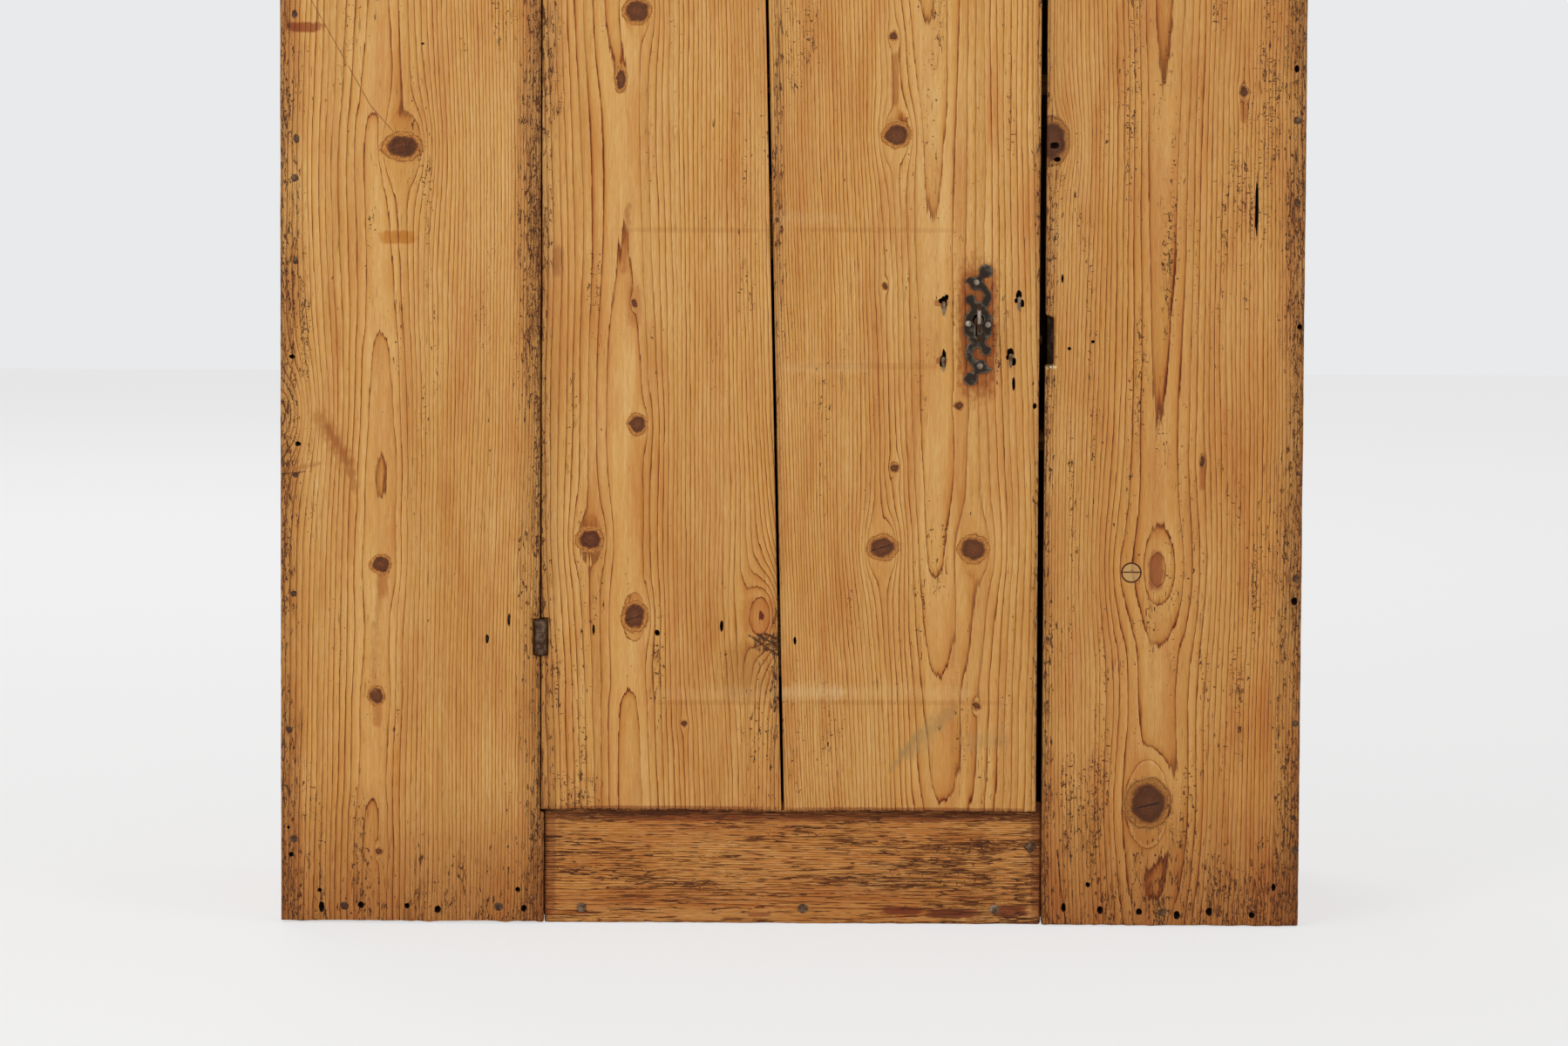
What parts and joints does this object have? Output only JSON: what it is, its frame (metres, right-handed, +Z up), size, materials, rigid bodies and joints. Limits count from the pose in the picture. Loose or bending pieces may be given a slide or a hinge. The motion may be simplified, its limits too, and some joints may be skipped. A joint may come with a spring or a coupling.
{
  "type": "wooden cabinet",
  "caption": "Tall rustic pine cupboard of nailed boards with a ledged plank door on wrought hinges, a key in a rim lock, shelves inside and a plain overhanging top.",
  "frame": {"origin": "middle of the bottom of the whole cupboard's bounding box, on the floor, with the key and the top board's overhang included", "axes": "+Z up, +X to the right of someone facing the door, +Y towards the back"},
  "size_m": [1.13, 0.51, 1.55],
  "materials": {
    "aged_pine": "old waxed pine, honey brown with darker grain, knots and worn edges",
    "inner_pine": "unfinished pine of the inside and back, dull and a little grey",
    "wrought_iron": "hand-forged iron, dark brown-grey, bright where it is rubbed"
  },
  "bodies": {
    "cupboard": {"left_stile": "aged_pine", "right_stile": "aged_pine", "bottom_rail": "aged_pine", "top_rail": "aged_pine", "left_side_front_board": "aged_pine", "left_side_rear_board": "aged_pine", "right_side_front_board": "aged_pine", "right_side_rear_board": "aged_pine", "top_board_front": "aged_pine", "top_board_rear": "aged_pine", "floor_board_front": "inner_pine", "floor_board_rear": "inner_pine", "back_board_1": "inner_pine", "back_board_2": "inner_pine", "back_board_3": "inner_pine", "back_board_4": "inner_pine", "back_board_5": "inner_pine", "shelf_lower_front_board": "inner_pine", "shelf_lower_rear_board": "inner_pine", "shelf_lower_cleat_left": "inner_pine", "shelf_lower_cleat_right": "inner_pine", "shelf_middle_front_board": "inner_pine", "shelf_middle_rear_board": "inner_pine", "shelf_middle_cleat_left": "inner_pine", "shelf_middle_cleat_right": "inner_pine", "shelf_upper_front_board": "inner_pine", "shelf_upper_rear_board": "inner_pine", "shelf_upper_cleat_left": "inner_pine", "shelf_upper_cleat_right": "inner_pine", "lower_hinge_frame_leaf": "wrought_iron", "lower_hinge_pin": "wrought_iron", "upper_hinge_frame_leaf": "wrought_iron", "upper_hinge_pin": "wrought_iron", "lock_keeper": "wrought_iron", "rail_screw_1": "wrought_iron", "rail_screw_2": "wrought_iron", "rail_screw_3": "wrought_iron", "rail_nail": "wrought_iron"},
    "door": {"door_plank_left": "aged_pine", "door_plank_right": "aged_pine", "door_batten_lower": "inner_pine", "door_batten_middle": "inner_pine", "door_batten_upper": "inner_pine", "lower_hinge_door_leaf": "wrought_iron", "upper_hinge_door_leaf": "wrought_iron", "lock_case": "wrought_iron", "lock_spring": "wrought_iron", "lock_nail_1": "wrought_iron", "lock_nail_2": "wrought_iron", "lock_nail_3": "wrought_iron", "lock_nail_4": "wrought_iron", "escutcheon": "wrought_iron", "escutcheon_nail_1": "wrought_iron", "escutcheon_nail_2": "wrought_iron", "escutcheon_nail_3": "wrought_iron", "escutcheon_nail_4": "wrought_iron"},
    "key": {"key": "wrought_iron"},
    "bolt": {"lock_bolt": "wrought_iron"}
  },
  "joints": [
    {"name": "door_swing", "type": "hinge", "parent": "cupboard", "child": "door", "pos_m": [-0.2695, -0.195, 0.763], "axis": [0, 0, -1], "range_deg": [0, 165]},
    {"name": "key_turn", "type": "hinge", "parent": "door", "child": "key", "pos_m": [0.1995, -0.195, 0.657], "axis": [0, -1, 0], "range_deg": [0, 180]},
    {"name": "bolt_throw", "type": "slide", "parent": "door", "child": "bolt", "axis": [1, 0, 0], "range_m": [0, 0.01]}
  ],
  "couplings": [
    {"joint": "bolt_throw", "follows": "key_turn", "m_per_rad": 0.00318}
  ]
}
